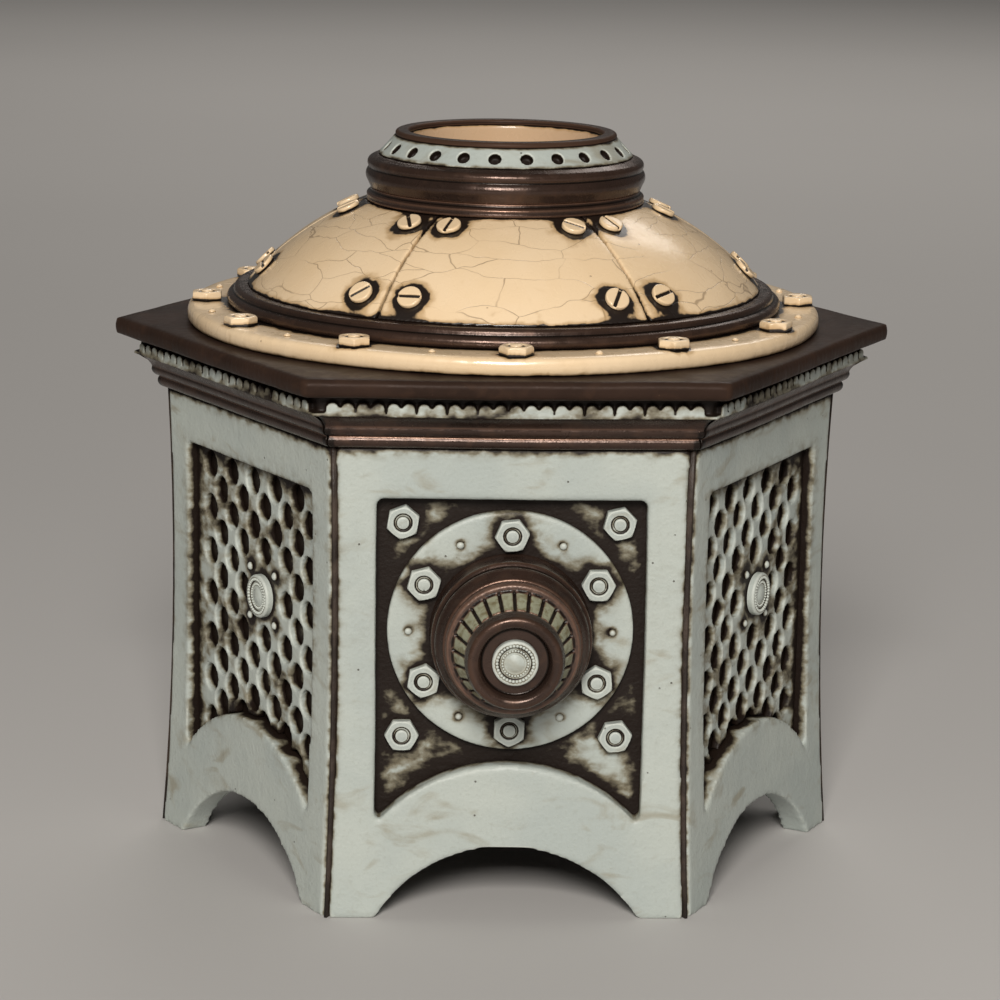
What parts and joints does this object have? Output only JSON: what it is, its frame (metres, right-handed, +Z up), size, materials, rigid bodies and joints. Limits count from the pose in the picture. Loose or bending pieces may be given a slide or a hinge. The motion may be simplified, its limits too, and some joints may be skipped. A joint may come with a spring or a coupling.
{
  "type": "hexagonal lidded ceramic vessel",
  "caption": "Six-sided glazed stoneware vessel on arched feet, styled as riveted ironwork, with a domed lift-off lid, an open collar and turning knobs.",
  "frame": {"origin": "on the floor under the vessel's centre axis, in the plane of the six foot soles", "axes": "+Z up along the centre axis; the front wall, which has a knob, faces -Y; +X to the right seen from the front"},
  "size_m": [0.3456, 0.3506, 0.318],
  "materials": {
    "blue_glaze": "satin pale blue-grey glaze over dark clay, worn at edges",
    "dark_glaze": "matt black-brown glaze",
    "bronze_glaze": "metallic brown-bronze satin glaze",
    "cream_glaze": "glossy cream glaze with fine crackle"
  },
  "bodies": {
    "vessel": {"corner_seams": "dark_glaze", "cornice_moulding": "bronze_glaze", "deck_plate": "bronze_glaze", "dentil_strips": "blue_glaze", "flange_plate_back": "blue_glaze", "flange_plate_front": "blue_glaze", "flange_rivets": "blue_glaze", "floor_plate": "dark_glaze", "inner_shell": "dark_glaze", "knob_collar_back": "bronze_glaze", "knob_collar_front": "bronze_glaze", "panel_bolts": "blue_glaze", "panel_nuts": "blue_glaze", "pierced_screen_back_left": "blue_glaze", "pierced_screen_back_right": "blue_glaze", "pierced_screen_front_left": "blue_glaze", "pierced_screen_front_right": "blue_glaze", "screen_rosettes": "blue_glaze", "screen_studs": "blue_glaze", "wall_frame_back": "blue_glaze", "wall_frame_back_left": "blue_glaze", "wall_frame_back_right": "blue_glaze", "wall_frame_front": "blue_glaze", "wall_frame_front_left": "blue_glaze", "wall_frame_front_right": "blue_glaze"},
    "lid": {"roof_segment_1": "cream_glaze", "roof_segment_2": "cream_glaze", "roof_segment_3": "cream_glaze", "roof_segment_4": "cream_glaze", "roof_segment_5": "cream_glaze", "roof_segment_6": "cream_glaze", "roof_screws": "cream_glaze", "lid_flange": "cream_glaze", "lid_nuts": "cream_glaze", "lid_studs": "cream_glaze", "lid_rivets": "cream_glaze", "lid_base_ring": "bronze_glaze", "roof_liner": "dark_glaze", "neck_ring": "bronze_glaze", "collar_bead": "bronze_glaze", "collar_band": "blue_glaze", "rim_ring": "dark_glaze", "mouth_liner": "cream_glaze", "locating_ring": "dark_glaze"},
    "knob_front": {"knob_skirt_front": "blue_glaze", "knob_grip_front": "bronze_glaze", "knob_button_front": "blue_glaze", "knob_spindle_front": "dark_glaze", "knob_retainer_front": "dark_glaze"},
    "knob_back": {"knob_skirt_back": "blue_glaze", "knob_grip_back": "bronze_glaze", "knob_button_back": "blue_glaze", "knob_spindle_back": "dark_glaze", "knob_retainer_back": "dark_glaze"}
  },
  "joints": [
    {"name": "lid_lift", "type": "slide", "parent": "vessel", "child": "lid", "axis": [0, 0, 1], "range_m": [0, 0.1]},
    {"name": "knob_turn_front", "type": "hinge", "parent": "vessel", "child": "knob_front", "pos_m": [0, -0.15, 0.12315], "axis": [0, -1, 0], "continuous": true},
    {"name": "knob_turn_back", "type": "hinge", "parent": "vessel", "child": "knob_back", "pos_m": [0, 0.15, 0.12315], "axis": [0, 1, 0], "continuous": true}
  ]
}
